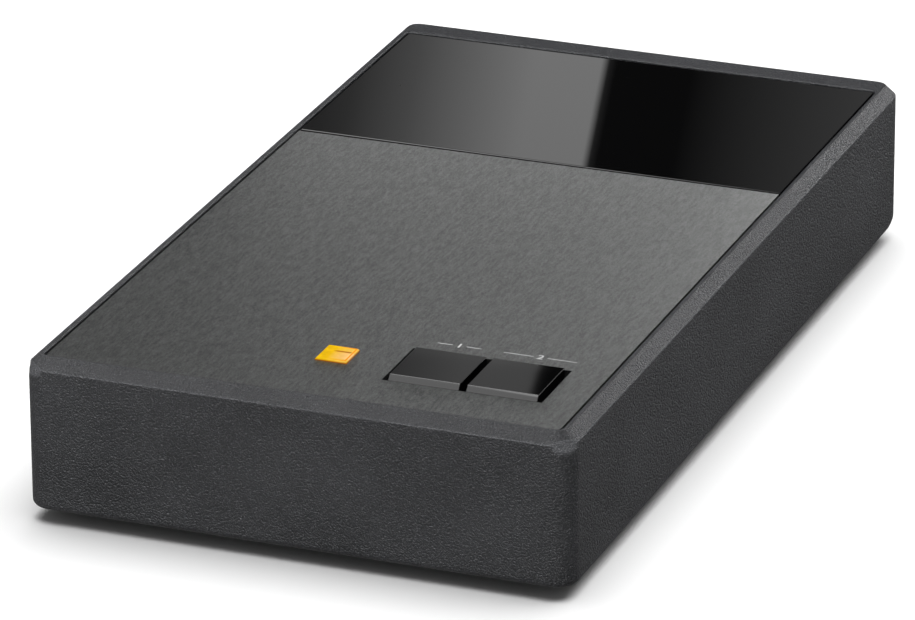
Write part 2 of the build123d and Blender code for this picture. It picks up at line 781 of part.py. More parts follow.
with BuildPart() as ground_lug:
    with BuildSketch(rearward(ground_x, panel_back_y - lug_thickness, socket_z)) as lug_outline:
        Circle(lug_radius)
        with Locations((0, -socket_axis_height / 2)):
            Rectangle(lug_width, socket_axis_height)
        Circle(stud_radius + press_gap, mode=Mode.SUBTRACT)
    extrude(amount=lug_thickness)
    with BuildSketch(Plane.XY.offset(board_top_z)) as lug_sole:
        with Locations((ground_x, panel_back_y - lug_foot / 2)):
            Rectangle(lug_width, lug_foot)
    extrude(amount=lug_thickness)
save(ground_lug, "ground_lug")

with BuildPart() as ground_lock_nut:
    with BuildSketch(rearward(ground_x, panel_back_y - lug_thickness - lock_nut_height, socket_z)):
        RegularPolygon(lock_nut_radius, 6)
        Circle(stud_radius + press_gap, mode=Mode.SUBTRACT)
    extrude(amount=lock_nut_height)
save(ground_lock_nut, "ground_lock_nut")

washer_y = panel_face_y + collar_height
with BuildPart() as ground_washer:
    with BuildSketch(rearward(ground_x, washer_y, socket_z)) as washer_ring:
        Circle(washer_radius)
        Circle(stud_radius + thread_gap, mode=Mode.SUBTRACT)
    extrude(amount=washer_thickness)
save(ground_washer, "ground_washer")

nut_y = washer_y + washer_thickness
with BuildPart() as ground_thumb_nut:
    with BuildSketch(rearward(ground_x, nut_y, socket_z)) as shoulder_round:
        Circle(thumb_nut_shoulder_radius)
    extrude(amount=thumb_nut_shoulder)
    with BuildSketch(rearward(ground_x, nut_y + thumb_nut_shoulder, socket_z)) as nut_round:
        Circle(thumb_nut_radius)
    extrude(amount=thumb_nut_height - thumb_nut_shoulder)
    chamfer(ground_thumb_nut.faces().sort_by(Axis.Y)[-1].edges(), thumb_nut_edge)
    with BuildSketch(rearward(ground_x, nut_y, socket_z)) as knurl:
        with PolarLocations(thumb_nut_radius, knurl_count):
            RegularPolygon(knurl_radius, 4)
    extrude(amount=thumb_nut_height, mode=Mode.SUBTRACT)
    with BuildSketch(rearward(ground_x, nut_y, socket_z)) as nut_bore:
        Circle(stud_radius + thread_gap)
    extrude(amount=thumb_nut_height, mode=Mode.SUBTRACT)
save(ground_thumb_nut, "ground_thumb_nut")

# ================================================================ setting switches
slot_xs = [(i - (dip_positions - 1) / 2) * dip_pitch for i in range(dip_positions)]
for name, x in dip_blocks.items():
    with BuildPart() as dip_body:
        with BuildSketch(Plane.XY.offset(dip_bottom_z)) as dip_plan:
            with Locations((x, dip_y)):
                Rectangle(dip_length, dip_width)
        extrude(amount=dip_height)
        with BuildSketch(Plane.XY.offset(dip_bottom_z)) as dip_slots:
            with Locations(*[(x + slot_x, dip_y) for slot_x in slot_xs]):
                Rectangle(dip_slot_width, dip_slot_length)
        extrude(amount=dip_slot_depth, mode=Mode.SUBTRACT)
    save(dip_body, f"{name}_switch_block")

    for index, slot_x in enumerate(slot_xs, start=1):
        slider_y = dip_y - dip_slot_length / 2 + slider_end_gap + slider_length / 2
        with BuildPart() as slider:
            with BuildSketch(Plane.XY.offset(dip_bottom_z - slider_proud)) as slider_plan:
                with Locations((x + slot_x, slider_y)):
                    Rectangle(slider_width, slider_length)
            extrude(amount=slider_proud + dip_slot_depth - slider_floor_gap)
        save(slider, f"{name}_slider_{index}")

# ================================================================ parts on the board
board_parts_y = front_y + board_parts_from_front
with BuildPart() as capacitor_cans:
    with BuildSketch(Plane.XY.offset(board_top_z)) as cans:
        with Locations((0, board_parts_y)):
            with GridLocations(board_column_pitch, 0, 4, 1):
                Circle(can_radius)
    extrude(amount=can_height)
save(capacitor_cans, "capacitor_cans")

with BuildPart() as film_capacitors:
    with BuildSketch(Plane.XY.offset(board_top_z)) as films:
        with Locations((0, board_parts_y + board_row_pitch)):
            with GridLocations(board_column_pitch, board_row_pitch / 2, 4, 2):
                Rectangle(film_width, film_depth)
    extrude(amount=film_height)
save(film_capacitors, "film_capacitors")

with BuildPart() as amplifier_chips:
    with BuildSketch(Plane.XY.offset(board_top_z)) as chips:
        with Locations((0, board_parts_y + 2 * board_row_pitch)):
            with GridLocations(board_column_pitch, 0, 4, 1):
                Rectangle(chip_width, chip_length)
                with Locations((0, chip_length / 2)):
                    Circle(chip_notch_radius, mode=Mode.SUBTRACT)
    extrude(amount=chip_height)
save(amplifier_chips, "amplifier_chips")

with BuildPart() as voltage_regulators:
    regulator_y = board_parts_y + 3 * board_row_pitch
    for x in (-board_column_pitch, board_column_pitch):
        with BuildSketch(Plane.XY.offset(board_top_z)) as regulator_plan:
            with Locations((x, regulator_y)):
                Rectangle(regulator_width, regulator_depth)
        extrude(amount=regulator_height - regulator_tab_height)
        with BuildSketch(rearward(x, regulator_y + regulator_depth / 2 - regulator_tab, board_top_z)):
            with Locations((0, regulator_height / 2)):
                Rectangle(regulator_width, regulator_height)
            with Locations((0, regulator_height - regulator_tab_height / 2)):
                Circle(regulator_hole_radius, mode=Mode.SUBTRACT)
        extrude(amount=regulator_tab)
save(voltage_regulators, "voltage_regulators")

print("overall size", case_width, case_depth + rear_reach, rim_z)
print("thumb nut travel", nut_travel, "per radian", thread_pitch / (2 * pi))
print("slider travel", slider_travel)
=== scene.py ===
import json
from math import cos, hypot, pi, radians, sin

import bpy
from mathutils import Matrix, Vector


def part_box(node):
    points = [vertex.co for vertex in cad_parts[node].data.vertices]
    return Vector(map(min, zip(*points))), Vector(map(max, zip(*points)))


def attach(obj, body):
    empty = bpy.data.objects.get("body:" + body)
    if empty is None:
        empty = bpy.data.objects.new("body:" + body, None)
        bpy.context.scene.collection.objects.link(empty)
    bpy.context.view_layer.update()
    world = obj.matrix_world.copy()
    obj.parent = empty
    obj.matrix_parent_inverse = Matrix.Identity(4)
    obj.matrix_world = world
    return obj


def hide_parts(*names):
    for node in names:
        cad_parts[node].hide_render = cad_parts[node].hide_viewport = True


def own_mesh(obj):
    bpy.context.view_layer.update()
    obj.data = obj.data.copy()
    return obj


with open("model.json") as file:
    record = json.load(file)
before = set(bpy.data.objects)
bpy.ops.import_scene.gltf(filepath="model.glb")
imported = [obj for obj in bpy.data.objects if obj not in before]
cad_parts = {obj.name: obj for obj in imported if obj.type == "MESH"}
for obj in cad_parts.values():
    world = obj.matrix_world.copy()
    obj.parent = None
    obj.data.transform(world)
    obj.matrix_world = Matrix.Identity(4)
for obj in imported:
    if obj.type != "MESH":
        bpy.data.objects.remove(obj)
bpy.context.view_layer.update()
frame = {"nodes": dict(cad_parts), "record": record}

# A desktop phono preamp in a textured dark case. Everything is in metres, in
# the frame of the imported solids: X right, Y rear, Z up, the table at Z = 0.

MM = 0.001

# ---------------------------------------------------------------- sizes
merge_distance = 0.002 * MM
flat_angle = radians(0.5)        # faces this close to flat become one
sharp_angle = radians(20)        # edges that turn more than this are softened
smooth_angle = radians(32)       # edges that turn less than this are shaded smooth
edge_steps = 2                   # faces across a softened edge
crease_radius = 0.16 * MM        # softened creases of the painted case
rim_radius = 0.11 * MM           # softened edges round the inlays
rim_chamfer = 2.0 * MM           # the chamfer round the top
rim_creases = rim_chamfer + 0.4 * MM  # a band round the top that holds only the chamfer
corner_radius = 4.2 * MM         # upright corners of the case, in plan
corner_reach = 2.2 * MM          # height of the eased part of the front corners
corner_pull = 0.65 * MM          # how far their crease is drawn in
lens_sink = 0.22 * MM            # the lens top, sunk inside its rim

button_labels = ("mono", "filter")
housing_low, housing_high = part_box("housing")
lens_low, lens_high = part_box("lamp_lens")
plate_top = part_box("top_plate")[1].z
panel_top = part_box("gloss_panel")[1].z


# ================================================================ modelling
def make_only(piece):
    """Leave one object selected and active."""
    bpy.ops.object.select_all(action="DESELECT")
    piece.select_set(True)
    bpy.context.view_layer.objects.active = piece


def copy_of(node, name):
    """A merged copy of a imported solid, with each flat face in one piece."""
    piece = bpy.data.objects.new(name, frame["nodes"][node].data.copy())
    bpy.context.scene.collection.objects.link(piece)
    make_only(piece)
    bpy.ops.mesh.customdata_custom_splitnormals_clear()
    bpy.ops.object.mode_set(mode="EDIT")
    bpy.ops.mesh.select_all(action="SELECT")
    bpy.ops.mesh.remove_doubles(threshold=merge_distance)
    bpy.ops.mesh.dissolve_limited(angle_limit=flat_angle)
    bpy.ops.object.mode_set(mode="OBJECT")
    piece.data.materials.clear()
    return piece


def select_sharp(piece, place):
    """Select the sharp edges whose two ends both lie where place says."""
    mesh = piece.data
    make_only(piece)
    bpy.ops.object.mode_set(mode="EDIT")
    bpy.ops.mesh.select_mode(type="EDGE")
    bpy.ops.mesh.select_all(action="DESELECT")
    bpy.ops.mesh.edges_select_sharp(sharpness=sharp_angle)
    bpy.ops.object.mode_set(mode="OBJECT")
    chosen = [
        edge.index
        for edge in mesh.edges
        if edge.select and all(place(mesh.vertices[i].co) for i in edge.vertices)
    ]
    for part in (*mesh.vertices, *mesh.edges, *mesh.polygons):
        part.select = False
    for index in chosen:
        mesh.edges[index].select = True


def soften(piece, place, radius, held=True):
    """Round the sharp edges that place picks out, then shade the piece smooth.

    Held stops the rounding where two edges would meet.
    """
    select_sharp(piece, place)
    bpy.ops.object.mode_set(mode="EDIT")
    bpy.ops.mesh.bevel(offset=radius, segments=edge_steps, affect="EDGES", clamp_overlap=held)
    bpy.ops.object.mode_set(mode="OBJECT")
    bpy.ops.object.shade_smooth_by_angle(angle=smooth_angle)


def cut_across(piece, direction):
    """Cut every face that crosses the middle, so that none runs all the way round."""
    make_only(piece)
    bpy.ops.object.mode_set(mode="EDIT")
    bpy.ops.mesh.select_all(action="SELECT")
    bpy.ops.mesh.bisect(plane_co=(0, 0, 0), plane_no=direction)
    bpy.ops.object.mode_set(mode="OBJECT")


def flatten_shading(piece):
    """Keep the large faces flat in the shading, and the softened edges round."""
    make_only(piece)
    bpy.ops.object.modifier_add(type="WEIGHTED_NORMAL")
    piece.modifiers[-1].keep_sharp = True
    bpy.ops.object.modifier_apply(modifier=piece.modifiers[-1].name)


def finish_piece(piece, material, body, slot, *nodes):
    """Give a new piece its finish, its body and the nodes it stands for."""
    piece.data.materials.clear()
    piece.data.materials.append(material)
    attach(piece, body)
    if nodes:
        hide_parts(*nodes)


# ================================================================ node helpers
def add(tree, kind, inputs=None, **settings):
    """Add a node, with its settings, its input values and its input links."""
    node = tree.nodes.new(kind)
    for key, value in settings.items():
        setattr(node, key, value)
    for key, value in (inputs or {}).items():
        if isinstance(value, bpy.types.NodeSocket):
            tree.links.new(value, node.inputs[key])
        else:
            node.inputs[key].default_value = value
    return node


def new_group(name, inputs, outputs):
    """A shader node group with named number sockets. Returns it, its start and its end."""
    group = bpy.data.node_groups.new(name, "ShaderNodeTree")
    for label, value in inputs.items():
        socket = group.interface.new_socket(name=label, in_out="INPUT", socket_type="NodeSocketFloat")
        socket.default_value = value
    for label in outputs:
        group.interface.new_socket(name=label, in_out="OUTPUT", socket_type="NodeSocketFloat")
    return group, group.nodes.new("NodeGroupInput"), group.nodes.new("NodeGroupOutput")


def place_group(tree, group, values=None):
    """Use a node group in a material, with its own values."""
    node = tree.nodes.new("ShaderNodeGroup")
    node.node_tree = group
    for key, value in (values or {}).items():
        node.inputs[key].default_value = value
    return node


def object_vector(tree):
    """The place on the piece, in metres, for a pattern to follow."""
    return tree.nodes.new("ShaderNodeTexCoord").outputs["Object"]


def calc(tree, operation, a, b=0.0):
    """One step of arithmetic on values or sockets."""
    node = add(tree, "ShaderNodeMath", {0: a, 1: b}, operation=operation)
    return node.outputs[0]


def product(tree, first, *others):
    """Several masks multiplied together."""
    for other in others:
        first = calc(tree, "MULTIPLY", first, other)
    return first


def spread(tree, value, from_low, from_high, to_low, to_high):
    """Map a value from one range to another, held at the ends."""
    ends = {"From Min": from_low, "From Max": from_high, "To Min": to_low, "To Max": to_high}
    node = add(tree, "ShaderNodeMapRange", {"Value": value, **ends})
    return node.outputs["Result"]


def tint(tree, mask, under, over):
    """One colour over another, by a mask. The one under may be a socket."""
    if not isinstance(under, bpy.types.NodeSocket):
        under = (*under, 1)
    node = add(tree, "ShaderNodeMix", {"Factor": mask, "A": under, "B": (*over, 1)}, data_type="RGBA")
    return node.outputs["Result"]


# ================================================================ shared effects
def make_pebble_group():
    """Fine sandy grain: grains of one size with a finer noise, and a mask of its high spots."""
    finer = 1.6                      # times as fine as the grains
    glint_from, glint_full = 0.56, 0.7
    group, start, end = new_group(
        "pebble_grain", {"Grain size": 0.6 * MM, "Fine share": 0.35}, ["Height", "Glint"]
    )
    scale = calc(group, "DIVIDE", 1.0, start.outputs["Grain size"])
    vector = object_vector(group)
    grains = add(group, "ShaderNodeTexVoronoi", {"Vector": vector, "Scale": scale}, feature="F1")
    finer_scale = calc(group, "MULTIPLY", scale, finer)
    fine = add(group, "ShaderNodeTexNoise", {"Vector": vector, "Scale": finer_scale, "Detail": 2.0})
    round_grain = calc(group, "MULTIPLY", grains.outputs["Distance"], grains.outputs["Distance"])
    body = calc(group, "SUBTRACT", 1.0, round_grain)
    fine_part = calc(group, "MULTIPLY", fine.outputs["Fac"], start.outputs["Fine share"])
    height = calc(group, "ADD", body, fine_part)
    glint = spread(group, fine.outputs["Fac"], glint_from, glint_full, 0.0, 1.0)
    group.links.new(height, end.inputs["Height"])
    group.links.new(glint, end.inputs["Glint"])
    return group


def make_brush_group():
    """Lines brushed from front to rear, short and fine, over wider ones."""
    wider = 0.31                     # scale of the wider lines
    fine_share = 0.6                 # of the shade, what the fine lines give
    group, start, end = new_group(
        "brushed_lines", {"Line width": 0.17 * MM, "Line length": 0.75 * MM}, ["Height", "Shade"]
    )
    across = calc(group, "DIVIDE", 1.0, start.outputs["Line width"])
    along = calc(group, "DIVIDE", 1.0, start.outputs["Line length"])
    stretch = add(group, "ShaderNodeCombineXYZ", {"X": across, "Y": along, "Z": across})
    factors = {0: object_vector(group), 1: stretch.outputs[0]}
    vector = add(group, "ShaderNodeVectorMath", factors, operation="MULTIPLY").outputs[0]
    lines = add(group, "ShaderNodeTexNoise", {"Vector": vector, "Scale": 1.0, "Detail": 3.0})
    wide = add(group, "ShaderNodeTexNoise", {"Vector": vector, "Scale": wider, "Detail": 1.0})
    fine_part = calc(group, "MULTIPLY", lines.outputs["Fac"], fine_share)
    wide_part = calc(group, "MULTIPLY", wide.outputs["Fac"], 1 - fine_share)
    group.links.new(lines.outputs["Fac"], end.inputs["Height"])
    group.links.new(calc(group, "ADD", fine_part, wide_part), end.inputs["Shade"])
    return group


def make_mottle_group():
    """Slow, faint variation, as handling and moulding leave it."""
    group, start, end = new_group("mottle", {"Size": 20 * MM}, ["Mask"])
    scale = calc(group, "DIVIDE", 1.0, start.outputs["Size"])
    vector = object_vector(group)
    noise = add(group, "ShaderNodeTexNoise", {"Vector": vector, "Scale": scale, "Detail": 3.0})
    group.links.new(spread(group, noise.outputs["Fac"], 0.3, 0.7, 0.0, 1.0), end.inputs["Mask"])
    return group


def make_dust_group():
    """Sparse tiny dust specks."""
    group, start, end = new_group("dust_specks", {"Spacing": 4 * MM, "Speck": 0.03}, ["Mask"])
    scale = calc(group, "DIVIDE", 1.0, start.outputs["Spacing"])
    cells = add(group, "ShaderNodeTexVoronoi", {"Vector": object_vector(group), "Scale": scale})
    inside = calc(group, "LESS_THAN", cells.outputs["Distance"], start.outputs["Speck"])
    group.links.new(inside, end.inputs["Mask"])
    return group


pebble = make_pebble_group()
brushing = make_brush_group()
mottle = make_mottle_group()
dust = make_dust_group()


# ================================================================ materials
def new_material(name, metallic=0.0, **constants):
    """A material, its node tree and its shader, with values that hold all over."""
    material = bpy.data.materials.new(name)
    material.use_nodes = True
    shader = material.node_tree.nodes["Principled BSDF"]
    shader.inputs["Metallic"].default_value = metallic
    for key, value in constants.items():
        shader.inputs[key.replace("_", " ")].default_value = value
    return material, material.node_tree, shader


def bump(tree, shader, height, depth):
    """Turn a height into the surface's normal. Depth is in metres."""
    node = add(tree, "ShaderNodeBump", {"Height": height, "Distance": depth, "Strength": 1.0})
    tree.links.new(node.outputs["Normal"], shader.inputs["Normal"])


def on_crease(tree):
    """A mask that is 1 where the surface turns from upright to sloping."""
    normal = tree.nodes.new("ShaderNodeNewGeometry").outputs["Normal"]
    rise = add(tree, "ShaderNodeSeparateXYZ", {0: normal}).outputs["Z"]
    past_upright = spread(tree, rise, 0.06, 0.2, 0.0, 1.0)
    before_slope = spread(tree, rise, 0.5, 0.64, 1.0, 0.0)
    return product(tree, past_upright, before_slope)


def textured_paint(name, dark, light, grain, depth, roughness, polished_with_painted_highlight=False):
    """Paint over a sandy casting: grain, paler glints, a slow mottle, and creases made smoother and
    paler in colour, a painted highlight.
    """
    glint_share, worn_polish = 0.8, 0.15
    material, tree, shader = new_material(name)
    grain_node = place_group(tree, pebble, {"Grain size": grain, "Fine share": 0.9})
    mottle_node = place_group(tree, mottle)
    glints = calc(tree, "MULTIPLY", grain_node.outputs["Glint"], glint_share)
    clouds = calc(tree, "MULTIPLY", mottle_node.outputs["Mask"], 1 - glint_share)
    mask = calc(tree, "ADD", glints, clouds)
    low, high = roughness
    rough = spread(tree, grain_node.outputs["Glint"], 0, 1, high, low)
    # Painted highlight: on the creases the colour is made paler, standing in for light caught there; the
    # paint there is also made smoother.
    if polished_with_painted_highlight:
        polish_and_painted_highlight = on_crease(tree)
        mask = calc(tree, "ADD", mask, polish_and_painted_highlight)
        rough = calc(tree, "SUBTRACT", rough, calc(tree, "MULTIPLY", polish_and_painted_highlight, worn_polish))
    tree.links.new(tint(tree, mask, dark, light), shader.inputs["Base Color"])
    tree.links.new(rough, shader.inputs["Roughness"])
    bump(tree, shader, grain_node.outputs["Height"], depth)
    return material


def moulded(name, colour, roughness, grain=0.25 * MM, depth=0.01 * MM):
    """Moulded plastic or rubber with a fine skin."""
    material, tree, shader = new_material(name)
    grain_node = place_group(tree, pebble, {"Grain size": grain})
    mottle_node = place_group(tree, mottle, {"Size": 6 * MM})
    darker = tuple(0.86 * part for part in colour)
    tree.links.new(tint(tree, mottle_node.outputs["Mask"], darker, colour), shader.inputs["Base Color"])
    rough = spread(tree, mottle_node.outputs["Mask"], 0, 1, roughness * 0.88, roughness * 1.12)
    tree.links.new(rough, shader.inputs["Roughness"])
    bump(tree, shader, grain_node.outputs["Height"], depth)
    return material


def turned_metal(name, colour, roughness):
    """Turned and plated metal with fine tool marks and a faint tarnish."""
    material, tree, shader = new_material(name, 1.0)
    marks = place_group(tree, pebble, {"Grain size": 0.12 * MM, "Fine share": 0.9})
    tarnish = place_group(tree, mottle, {"Size": 3 * MM})
    darker = tuple(0.78 * part for part in colour)
    tree.links.new(tint(tree, tarnish.outputs["Mask"], darker, colour), shader.inputs["Base Color"])
    rough = spread(tree, tarnish.outputs["Mask"], 0, 1, roughness * 1.3, roughness * 0.8)
    tree.links.new(rough, shader.inputs["Roughness"])
    bump(tree, shader, marks.outputs["Height"], 0.002 * MM)
    return material


def polished_black(name, roughness, spacing):
    """Polished black with a faint haze and a few dust specks, spacing apart."""
    black, dust_colour, dust_roughness = (0.0008, 0.0008, 0.0009), (0.006, 0.006, 0.006), 0.3
    material, tree, shader = new_material(name, IOR=1.5)
    haze = place_group(tree, mottle, {"Size": 25 * MM}).outputs["Mask"]
    specks = place_group(tree, dust, {"Spacing": spacing}).outputs["Mask"]
    clean = spread(tree, haze, 0, 1, roughness * 0.7, roughness * 1.3)
    rough = calc(tree, "ADD", clean, calc(tree, "MULTIPLY", specks, dust_roughness))
    tree.links.new(tint(tree, specks, black, dust_colour), shader.inputs["Base Color"])
    tree.links.new(rough, shader.inputs["Roughness"])
    return material


def brushed_metal():
    """Dark anodised aluminium brushed from front to rear."""
    groove, ridge = (0.047, 0.0495, 0.0485), (0.155, 0.159, 0.156)
    groove_shade, ridge_shade, wear = 0.36, 0.64, 0.03
    material, tree, shader = new_material("brushed_plate", 0.85)
    lines = place_group(tree, brushing)
    clouds = place_group(tree, mottle, {"Size": 45 * MM}).outputs["Mask"]
    mask = spread(tree, lines.outputs["Shade"], groove_shade, ridge_shade, 0.0, 1.0)
    polish = spread(tree, lines.outputs["Shade"], groove_shade, ridge_shade, 0.36, 0.28)
    rough = calc(tree, "ADD", polish, calc(tree, "MULTIPLY", clouds, wear))
    tree.links.new(tint(tree, mask, groove, ridge), shader.inputs["Base Color"])
    tree.links.new(rough, shader.inputs["Roughness"])
    bump(tree, shader, lines.outputs["Height"], 0.012 * MM)
    return material


def lit_amber():
    """Amber lens lit from below. Its glow carries a painted highlight, a pale area toward the right, and
    a painted shadow of the rim's inner wall, a dark line across; the rim and foot are deeper.
    """
    # The pale colour is a painted highlight, and the first colour on the next line is a painted shadow.
    deep, bright, pale = (0.68, 0.42, 0.002), (0.9, 0.56, 0.002), (1.0, 0.62, 0.27)
    painted_shadow_colour, rim_colour, foot_colour = (0.3, 0.07, 0.004), (0.86, 0.3, 0.006), (0.28, 0.08, 0.006)
    middle_y = (lens_low.y + lens_high.y) / 2
    shadow_y = middle_y + 1.15 * MM
    rim_z = lens_high.z - 0.12 * MM
    material, tree, shader = new_material(
        "lamp_amber",
        Base_Color=(0.06, 0.02, 0.002, 1),
        Roughness=0.15,
        Specular_IOR_Level=0.02,
        Emission_Strength=1.0,
    )
    axes = add(tree, "ShaderNodeSeparateXYZ", {0: object_vector(tree)})
    x, y, z = (axes.outputs[label] for label in "XYZ")
    cloud = place_group(tree, mottle, {"Size": 1.6 * MM}).outputs["Mask"]
    glow = tint(tree, cloud, deep, bright)

    # Painted highlight: a pale area of the glow, growing paler toward the right.
    rightward = spread(tree, x, -1.1 * MM, 1.98 * MM, 0.0, 1.0)
    from_front = spread(tree, y, middle_y - 2.4 * MM, middle_y - 1.6 * MM, 0.3, 1.0)
    to_rear = spread(tree, y, middle_y + 0.5 * MM, middle_y + 1.1 * MM, 1.0, 0.35)
    painted_highlight = product(tree, rightward, from_front, to_rear, spread(tree, cloud, 0.0, 1.0, 0.7, 1.0))
    glow = tint(tree, painted_highlight, glow, pale)

    # Painted shadow: a dark line across the glow, standing in for the shade of the rim's inner wall.
    shadow_start = spread(tree, x, -1.2 * MM, -0.4 * MM, 0.0, 1.0)
    shadow_end = spread(tree, x, 2.1 * MM, 2.4 * MM, 1.0, 0.0)
    off_shadow = calc(tree, "ABSOLUTE", calc(tree, "SUBTRACT", y, shadow_y))
    line = product(tree, shadow_start, shadow_end, spread(tree, off_shadow, 0.1 * MM, 0.4 * MM, 0.9, 0.0))
    glow = tint(tree, line, glow, painted_shadow_colour)

    on_rim = product(tree, spread(tree, z, rim_z, rim_z + 0.02 * MM, 0.0, 1.0), rightward)
    glow = tint(tree, on_rim, glow, rim_colour)
    at_foot = spread(tree, z, plate_top + 0.05 * MM, plate_top + 0.3 * MM, 1.0, 0.0)
    glow = tint(tree, at_foot, glow, foot_colour)
    tree.links.new(glow, shader.inputs["Emission Color"])
    return material


materials = {
    "case_paint": textured_paint(
        "case_paint",
        dark=(0.0135, 0.014, 0.016),
        light=(0.078, 0.08, 0.086),
        grain=0.37 * MM,
        depth=0.15 * MM,
        roughness=(0.28, 0.42),
        polished_with_painted_highlight=True,
    ),
    "brushed_plate": brushed_metal(),
    "gloss_black": polished_black("gloss_black", 0.012, spacing=9 * MM),
    "button_black": polished_black("button_black", 0.045, spacing=7 * MM),
    "base_paint": textured_paint(
        "base_paint",
        dark=(0.014, 0.014, 0.015),
        light=(0.04, 0.041, 0.043),
        grain=0.35 * MM,
        depth=0.02 * MM,
        roughness=(0.4, 0.55),
    ),
    "rear_paint": textured_paint(
        "rear_paint",
        dark=(0.012, 0.012, 0.013),
        light=(0.035, 0.036, 0.038),
        grain=0.3 * MM,
        depth=0.015 * MM,
        roughness=(0.38, 0.5),
    ),
    "screw_black": turned_metal("screw_black", (0.05, 0.05, 0.052), 0.35),
    "foot_rubber": moulded("foot_rubber", (0.022, 0.022, 0.023), 0.85, grain=0.4 * MM, depth=0.03 * MM),
    "black_plastic": moulded("black_plastic", (0.02, 0.02, 0.021), 0.45),
    "socket_plating": turned_metal("socket_plating", (0.86, 0.64, 0.28), 0.2),
    "socket_insulator_red": moulded("socket_insulator_red", (0.5, 0.015, 0.012), 0.4),
    "socket_insulator_white": moulded("socket_insulator_white", (0.72, 0.72, 0.69), 0.4),
    "steel": turned_metal("steel", (0.6, 0.6, 0.61), 0.28),
    "white_plastic": moulded("white_plastic", (0.78, 0.78, 0.75), 0.4),
    "lamp_amber": lit_amber(),
    "board_green": moulded("board_green", (0.01, 0.09, 0.035), 0.35, grain=0.8 * MM),
    "setting_switch": moulded("setting_switch", (0.02, 0.07, 0.36), 0.45),
    "can_sleeve": moulded("can_sleeve", (0.018, 0.018, 0.035), 0.3),
    "film_red": moulded("film_red", (0.36, 0.03, 0.012), 0.35),
    "chip_black": moulded("chip_black", (0.016, 0.016, 0.017), 0.5),
    "print_grey": moulded("print_grey", (0.42, 0.42, 0.42), 0.6, grain=0.1 * MM, depth=0.003 * MM),
}


def paint_nodes():
    """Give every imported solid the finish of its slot."""
    for row in frame["record"]["subparts"]:
        node = frame["nodes"][row["node"]]
        node.data.materials.clear()
        node.data.materials.append(materials[row["material_slot"]])
    for label in button_labels:
        frame["nodes"][label + "_button"].data.materials[0] = materials["button_black"]


# ================================================================ case
def on_chamfer(at):
    """Near the two creases of the chamfer round the top."""
    outside = (
        at.x < housing_low.x + rim_creases
        or at.x > housing_high.x - rim_creases
        or at.y < housing_low.y + rim_creases
        or at.y > housing_high.y - rim_creases
    )
    return outside and at.z > housing_high.z - rim_creases


def on_inner_rim(at):
    """Near the broken inner edge of the flat round the inlays."""
    return not on_chamfer(at) and at.z > plate_top


def ease_front_corners(shell):
    """Ease the two front corners into a ball under the chamfer."""
    cuts = (0.0, 0.4, 0.6, 0.8)      # shares of the eased height
    wall_share = 0.9                 # of the corner's radius: points nearer its axis stay
    slope_share = 0.5                # the same, on the chamfer
    crease_z = housing_high.z - rim_chamfer
    foot_z = crease_z - corner_reach
    make_only(shell)
    bpy.ops.object.mode_set(mode="EDIT")
    for share in cuts:
        bpy.ops.mesh.select_all(action="SELECT")
        bpy.ops.mesh.bisect(plane_co=(0, 0, foot_z + share * corner_reach), plane_no=(0, 0, 1))
    bpy.ops.object.mode_set(mode="OBJECT")
    for vertex in shell.data.vertices:
        at = vertex.co
        out_x = abs(at.x) - (housing_high.x - corner_radius)
        out_y = housing_low.y + corner_radius - at.y
        out = hypot(out_x, out_y)
        on_slope = at.z > crease_z - merge_distance
        inside = (slope_share if on_slope else wall_share) * corner_radius
        if min(out_x, out_y) <= 0 or at.z <= foot_z or out < inside:
            continue
        share = ((at.z - foot_z) / corner_reach) ** 2
        if on_slope:
            share = (housing_high.z - at.z) / rim_chamfer
        pull = corner_pull * share * 2 * out_x * out_y / (out * out)
        at.x -= pull * out_x / out * (1 if at.x > 0 else -1)
        at.y += pull * out_y / out
        if on_slope:
            at.z += pull


def make_case_shell():
    """The moulded housing, its creases softened as paint leaves them."""
    shell = copy_of("housing", "case_shell")
    ease_front_corners(shell)
    soften(shell, on_chamfer, crease_radius, held=False)
    soften(shell, on_inner_rim, rim_radius)
    cut_across(shell, (1, 0, 0))
    cut_across(shell, (0, 1, 0))
    flatten_shading(shell)
    finish_piece(shell, materials["case_paint"], "case", "case_paint", "housing")


# ================================================================ buttons and lens
def choose_faces(piece, place):
    """Select the faces whose middle and normal pass the test, and open edit mode."""
    make_only(piece)
    for part in (*piece.data.vertices, *piece.data.edges):
        part.select = False
    for face in piece.data.polygons:
        face.select = place(face.center, face.normal)
    bpy.ops.object.mode_set(mode="EDIT")
    bpy.ops.mesh.select_mode(type="FACE")


